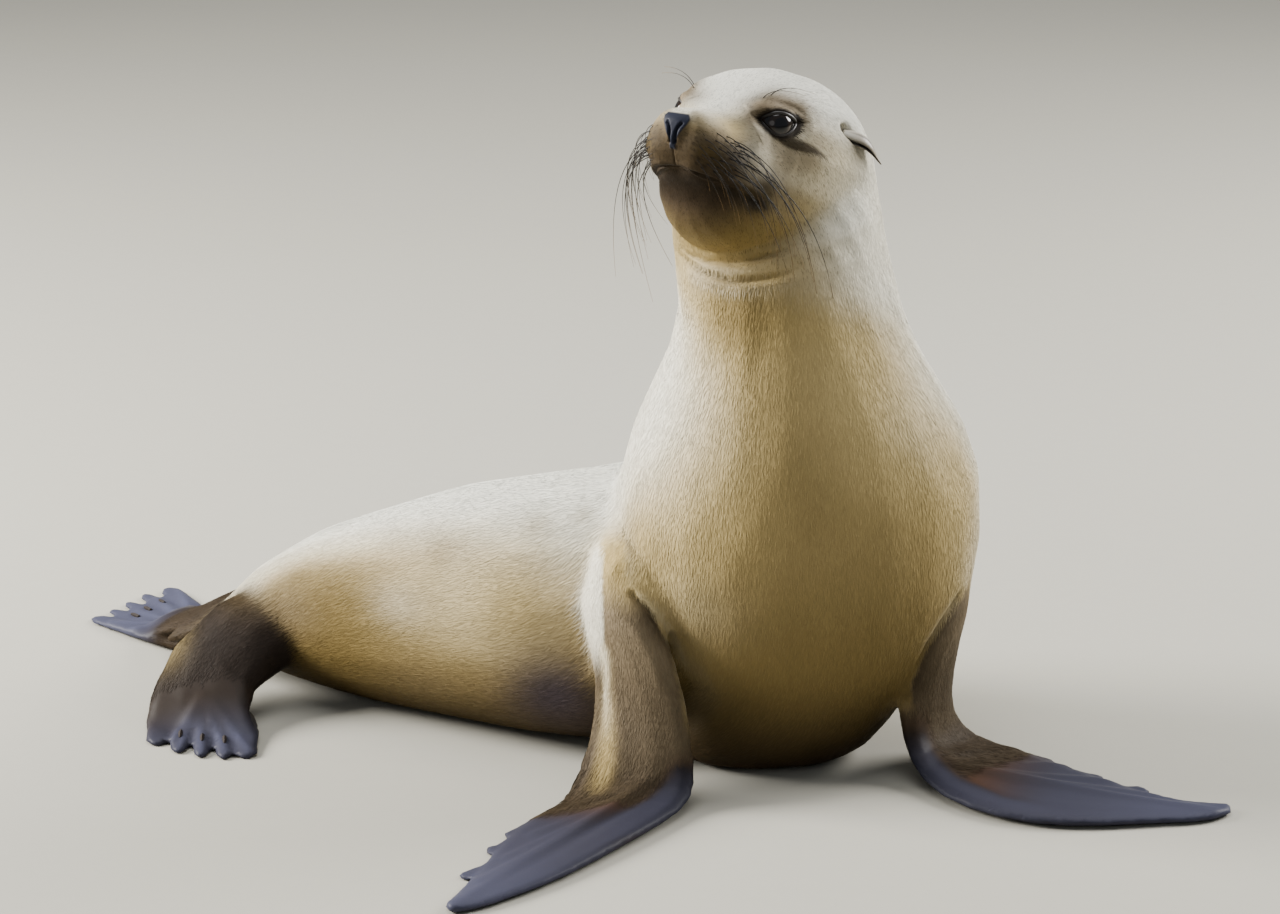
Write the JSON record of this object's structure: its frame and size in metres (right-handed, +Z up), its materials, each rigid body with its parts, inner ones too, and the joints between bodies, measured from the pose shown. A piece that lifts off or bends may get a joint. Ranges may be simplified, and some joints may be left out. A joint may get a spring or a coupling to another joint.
{
  "type": "sea lion",
  "caption": "Life-size still model of a young sea lion sitting up on its foreflippers, head raised and turned, hindquarters lying to one side.",
  "frame": {"origin": "on the floor, under the middle of the model's bounding box", "axes": "+Z up; -Y is the way the chest faces; +X is the animal's left, and the hindquarters swing away towards -X, so the longest extent runs along X"},
  "size_m": [1.0332, 0.75, 0.6017],
  "materials": {
    "coat": "short, flat, golden-tan fur, paler on the crown, the nape and the back",
    "dark_coat": "short dark brown fur",
    "hide": "bare slate-black leathery skin with a soft sheen",
    "eye": "wet, nearly black, high gloss",
    "nail": "dark horn, satin"
  },
  "bodies": {
    "root": {"nose": "hide", "eye_left": "eye", "eye_right": "eye", "ear_left": "coat", "ear_right": "coat", "head": "coat", "muzzle": "dark_coat", "lower_jaw": "dark_coat", "neck": "coat", "chest": "coat", "belly": "coat", "hindquarters": "coat", "tail": "coat", "forearm_left": "dark_coat", "forearm_right": "dark_coat", "foreflipper_left": "hide", "foreflipper_right": "hide", "leg_left": "coat", "leg_right": "coat", "hind_flipper_left": "hide", "hind_flipper_right": "hide", "nail_left_2": "nail", "nail_left_3": "nail", "nail_left_4": "nail", "nail_right_2": "nail", "nail_right_3": "nail", "nail_right_4": "nail"}
  },
  "joints": []
}
